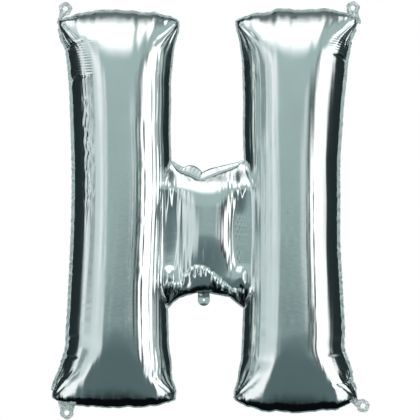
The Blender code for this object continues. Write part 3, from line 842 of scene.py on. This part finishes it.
# The border's points in order along the seam, and how the strip waves at each
loop, last = [next(iter(beside))], None
while True:
    following = [v for v in beside[loop[-1]] if v is not last][0]
    last = loop[-1]
    if following is loop[0]:
        break
    loop.append(following)
along_seam = np.cumsum([0] + [(loop[i + 1].co - loop[i].co).length for i in range(len(loop) - 1)])
sway = dict(zip(loop, RUFFLE * wander(along_seam, RUFFLE_PITCH, SEAL_SEEDS[0])))
crimp = dict(zip(loop, CRIMP * wander(along_seam, CRIMP_PITCH, SEAL_SEEDS[1])))
ragged = dict(zip(loop, RAGGED * wander(along_seam, RAGGED_PITCH, SEAL_SEEDS[2])))
seam = {v: Vector((v.co.x, 0, v.co.z)) for v in loop}
# Only the border stays of the film's mesh, and the strip grows out of it ring by ring
kept_edges = set(border)
bmesh.ops.delete(bm, geom=list(bm.faces), context="FACES_ONLY")
bmesh.ops.delete(bm, geom=[e for e in bm.edges if e not in kept_edges], context="EDGES_FACES")
bmesh.ops.delete(bm, geom=[v for v in bm.verts if not v.link_edges], context="VERTS")
for vert in loop:
    vert.co = seam[vert] - ways[vert] * SEAL_UNDER_FILM
ring, source = list(bm.edges), {v: v for v in loop}
for number in range(1, SEAL_RINGS + 1):
    ring, source = grow(bm, ring, source)
    out = number / SEAL_RINGS
    for vert, root in source.items():
        width, lean_back = seal_width(seam[root], ragged[root])
        back = (sway[root] + crimp[root]) * out ** 1.5 + lean_back * out
        vert.co = seam[root] + ways[root] * width * out + Vector((0, back, 0))
bmesh.ops.recalc_face_normals(bm, faces=bm.faces)
bmesh.ops.solidify(bm, geom=bm.faces, thickness=SEAL_THICK)
seal_finish = foil("seal_film", SEAL_PALE, rough=0.16, crinkle=0.12, metal=0.7)
finish_piece(bm, "welded_edge", seal_finish, "seal_foil", "edge_seal")

# Hanging tabs. At each outer corner the welded film runs on into a tab with a punched hole. The
# film is thin and has been handled, so every tab is crushed into small flat facets.
TAB_HEAD = 0.0135
TAB_LENGTH = 0.034
TAB_HOLE = 0.0052
TAB_THICK = 0.0006
TAB_TAPER = 0.019
TAB_UNEVEN = 0.05
TAB_SPOKES, TAB_RINGS = 96, 26
TAB_PALE = (0.96, 0.98, 0.98)
CRUSH_FOLDS, CRUSH_PITCH, CRUSH_MIDDLE = 5, (0.006, 0.012), 0.010
CRUSH_LESS, CRUSH_LESS_FROM = 0.7, 0.018
OUTLINE_STEP = 0.0002
# Name, middle of the hole, the way it points, half width at the root, how hard it is crushed, seed
TABS = (
    ("tab_top_left", -0.2885, 0.410, 62, 0.0035, 0.50, 3),
    ("tab_top_right", 0.2995, 0.412, 115, 0.0035, 0.55, 8),
    ("tab_bottom_left", -0.2855, -0.416, -90, 0.017, 0.42, 5),
    ("tab_bottom_right", 0.3200, -0.402, -30, 0.006, 0.50, 13),
)


def reach_of(angle, head, length, root, taper):
    """How far a tab reaches from its hole, at an angle from the line to its root."""
    reach = head
    if math.cos(angle) > 0.05:
        for step_out in np.arange(head, length / math.cos(angle) + 1e-9, OUTLINE_STEP):
            down_tab, beside_tab = step_out * math.cos(angle), abs(step_out * math.sin(angle))
            half = head + (root - head) * np.clip(down_tab / taper, 0, 1)
            if down_tab > length or beside_tab > half:
                break
            reach = step_out
    return reach


def crush(along_tab, across_tab, amount, seed):
    """Height of a crushed film: flat facets between straight creases."""
    rng = np.random.default_rng(seed)
    total = 0.0
    for crease in range(CRUSH_FOLDS):
        turned, pitch, shift = rng.uniform(0, math.pi), rng.uniform(*CRUSH_PITCH), rng.uniform(0, 1)
        run = (along_tab * math.cos(turned) + across_tab * math.sin(turned)) / pitch + shift
        total += abs(run % 1 - 0.5) * pitch
    return -amount * (total - CRUSH_MIDDLE)


def holed_film(name, centre, pointing, outline, hole, height, thick, material, slot, cad_node):
    """A flat film with a hole, its edge given as a reach for each angle and its height by a function."""
    shape = bmesh.new()
    bmesh.ops.create_circle(shape, segments=TAB_SPOKES, radius=1.0)
    ring = list(shape.edges)
    angles = {v: math.atan2(v.co.y, v.co.x) for v in shape.verts}
    reaches = {v: outline(angle) for v, angle in angles.items()}
    levels = [(v, v, 0.0) for v in shape.verts]
    source = {v: v for v in shape.verts}
    for number in range(1, TAB_RINGS + 1):
        ring, source = grow(shape, ring, source)
        levels += [(v, root, number / TAB_RINGS) for v, root in source.items()]
    back = math.radians(pointing) + math.pi
    for vert, root, out in levels:
        away = hole + (reaches[root] - hole) * out
        along_tab, across_tab = away * math.cos(angles[root]), away * math.sin(angles[root])
        vert.co = (centre[0] + along_tab * math.cos(back) - across_tab * math.sin(back),
                   height(along_tab, across_tab),
                   centre[1] + along_tab * math.sin(back) + across_tab * math.cos(back))
    bmesh.ops.recalc_face_normals(shape, faces=shape.faces)
    bmesh.ops.solidify(shape, geom=shape.faces, thickness=thick)
    finish_piece(shape, name, material, slot, cad_node)


def tab_edge(angle, root, seed):
    """The tab's outline, slightly uneven where the film was cut."""
    even = reach_of(angle, TAB_HEAD, TAB_LENGTH, root, TAB_TAPER)
    return even * (1 + TAB_UNEVEN * math.sin(5 * angle + seed))


def tab_height(along_tab, across_tab, crushed, seed):
    """The tab's facets, which flatten out towards the weld."""
    less = CRUSH_LESS * ease(along_tab, CRUSH_LESS_FROM, TAB_LENGTH)
    return crush(along_tab, across_tab, crushed, seed) * (1 - less)


tab_finish = foil("tab_film", TAB_PALE, rough=0.12, crinkle=0.3, metal=0.35)
for name, hole_x, hole_z, pointing, root, crushed, seed in TABS:
    holed_film(name + "_film", (hole_x, hole_z), pointing,
               lambda angle: tab_edge(angle, root, seed), TAB_HOLE,
               lambda along_tab, across_tab: tab_height(along_tab, across_tab, crushed, seed),
               TAB_THICK, tab_finish, "tab_foil", name)

# Inflation tail. Gas goes in through this short neck below the crossbar. Its film is folded across
# once at the seam, flares below the fold and ends in a rounded lip with an open mouth.
TAIL_MIDDLE = (-0.0055, -0.1850)
TAIL_HEAD = 0.0125
TAIL_LENGTH = 0.0270
TAIL_NECK = 0.0115
TAIL_HOLE = 0.0030
TAIL_THICK = 0.0016
TAIL_SILVER = (0.80, 0.84, 0.84)
TAIL_BELLY, TAIL_BELLY_HALF, TAIL_BELLY_FROM = 0.004, 0.009, (-0.014, 0.004)
FOLD_AT, FOLD_HALF, FOLD_STAND = 0.0195, 0.0030, 0.0110
FLARE_STAND, FLARE_PITCH, FLARE_HALF = 0.0022, 0.0045, 0.012


def tail_reach(angle):
    """The tail's outline."""
    return reach_of(angle, TAIL_HEAD, TAIL_LENGTH, TAIL_NECK, TAIL_LENGTH)


def tail_height(along_tail, across_tail):
    """The tail's belly, the fold across its neck and the flare below it."""
    fold = FOLD_STAND * math.exp(-((along_tail - FOLD_AT) / FOLD_HALF) ** 2)
    flare = FLARE_STAND * math.sin(along_tail / FLARE_PITCH + 0.6)
    flare = flare * math.exp(-(across_tail / FLARE_HALF) ** 2)
    belly = TAIL_BELLY * math.exp(-(across_tail / TAIL_BELLY_HALF) ** 2)
    return -belly * float(ease(np.array(along_tail), *TAIL_BELLY_FROM)) - fold + flare


tail_finish = foil("tail_film", TAIL_SILVER, rough=0.14, crinkle=0.3)
holed_film("inflation_neck", TAIL_MIDDLE, -90, tail_reach, TAIL_HOLE, tail_height, TAIL_THICK,
           tail_finish, "tail_film", "inflation_tail")
